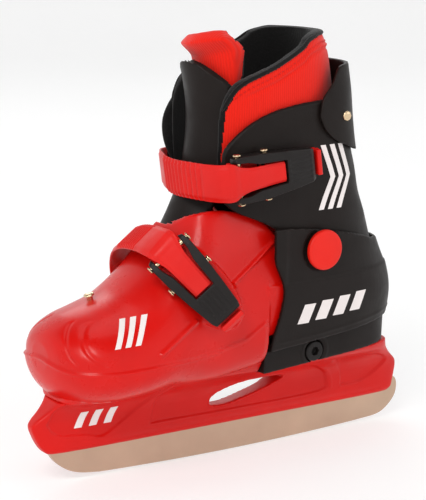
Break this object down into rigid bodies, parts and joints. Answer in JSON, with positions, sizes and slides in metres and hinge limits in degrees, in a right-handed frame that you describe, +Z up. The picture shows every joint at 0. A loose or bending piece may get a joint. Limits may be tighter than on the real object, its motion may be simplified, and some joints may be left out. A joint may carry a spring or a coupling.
{
  "type": "ice skate",
  "caption": "Child's hard-shell ice skate for the left foot, with a steel runner, hinged cuff, soft inner boot, lever buckles and an adjustable toe.",
  "frame": {"origin": "centre of the level part of the running edge, where the blade meets the ice, in the middle plane of the runner", "axes": "+Z up from the ice; -X towards the toe and +X towards the heel; -Y is the outer side with the buckles and +Y the inner side of a left foot"},
  "size_m": [0.2463, 0.1026, 0.2364],
  "materials": {
    "red_plastic": "injection-moulded red shell plastic, satin to glossy",
    "strap_red": "flexible ribbed red strap plastic, semi-matte",
    "black_plastic": "injection-moulded black plastic, satin with a fine grain",
    "blade_steel": "ground and satin-polished stainless steel",
    "rivet_metal": "nickel-plated steel",
    "red_fabric": "ribbed red textile over foam, with a near-black lining",
    "footbed_board": "grey fibre insole board"
  },
  "bodies": {
    "root": {"blade": "blade_steel", "blade_holder": "red_plastic", "heel_base": "black_plastic", "cross_bolt": "black_plastic", "cross_bolt_nut": "rivet_metal", "heel_shell": "black_plastic", "heel_screw_1": "rivet_metal", "heel_screw_2": "rivet_metal", "heel_screw_3": "rivet_metal", "footbed": "footbed_board", "liner_foot": "red_fabric", "tongue_lower": "black_plastic", "pivot_stud_outer": "rivet_metal", "pivot_cover_outer": "red_plastic", "pivot_stud_inner": "rivet_metal", "pivot_cover_inner": "red_plastic"},
    "toe": {"toe_shell": "red_plastic", "size_rail": "rivet_metal", "rail_screw_1": "rivet_metal", "rail_screw_2": "rivet_metal", "toe_rivet": "rivet_metal", "lower_buckle_base": "strap_red", "lower_base_rivet_front": "rivet_metal", "lower_base_rivet_rear": "rivet_metal", "lower_strap_rivet": "rivet_metal"},
    "cuff": {"cuff_shell": "black_plastic", "rear_spoiler": "black_plastic", "spoiler_rivet_outer": "rivet_metal", "spoiler_rivet_inner": "rivet_metal", "liner_collar": "red_fabric", "tongue_upper": "black_plastic", "tongue_pad": "red_fabric", "upper_buckle_base": "strap_red", "upper_base_rivet_front": "rivet_metal", "upper_base_rivet_rear": "rivet_metal", "upper_strap_rivet": "rivet_metal"},
    "upper_lever_body": {"upper_lever": "black_plastic", "upper_pin_front_low": "rivet_metal", "upper_pin_front_high": "rivet_metal", "upper_pin_rear_low": "rivet_metal", "upper_pin_rear_high": "rivet_metal"},
    "lower_lever_body": {"lower_lever": "black_plastic", "lower_pin_front_low": "rivet_metal", "lower_pin_front_high": "rivet_metal", "lower_pin_rear_low": "rivet_metal", "lower_pin_rear_high": "rivet_metal"},
    "upper_strap_body": {"upper_strap": "strap_red"},
    "lower_strap_body": {"lower_strap": "strap_red"}
  },
  "joints": [
    {"name": "size_slide", "type": "slide", "parent": "root", "child": "toe", "axis": [-0.9968, 0, -0.0797], "range_m": [0, 0.02]},
    {"name": "cuff_flex", "type": "hinge", "parent": "root", "child": "cuff", "pos_m": [0.034, 0, 0.1185], "axis": [0, -1, 0], "range_deg": [-3, 5], "stiffness_Nm_per_rad": 8},
    {"name": "upper_lever_swing", "type": "hinge", "parent": "cuff", "child": "upper_lever_body", "pos_m": [-0.0212, -0.0394, 0.1619], "axis": [0.1322, 0.0052, -0.9912], "range_deg": [0, 95]},
    {"name": "lower_lever_swing", "type": "hinge", "parent": "toe", "child": "lower_lever_body", "pos_m": [-0.0592, -0.03, 0.1251], "axis": [-0.6871, 0.2789, -0.6709], "range_deg": [0, 95]},
    {"name": "upper_strap_swing", "type": "hinge", "parent": "cuff", "child": "upper_strap_body", "pos_m": [-0.017, 0.0354, 0.16], "axis": [0.001, -0.0439, -0.999], "range_deg": [0, 5.7]},
    {"name": "lower_strap_swing", "type": "hinge", "parent": "toe", "child": "lower_strap_body", "pos_m": [-0.0458, 0.0406, 0.1036], "axis": [-0.8859, 0.1727, -0.4305], "range_deg": [0, 5.7]}
  ],
  "couplings": [
    {"joint": "upper_strap_swing", "follows": "upper_lever_swing", "ratio": 0.06},
    {"joint": "lower_strap_swing", "follows": "lower_lever_swing", "ratio": 0.06}
  ]
}
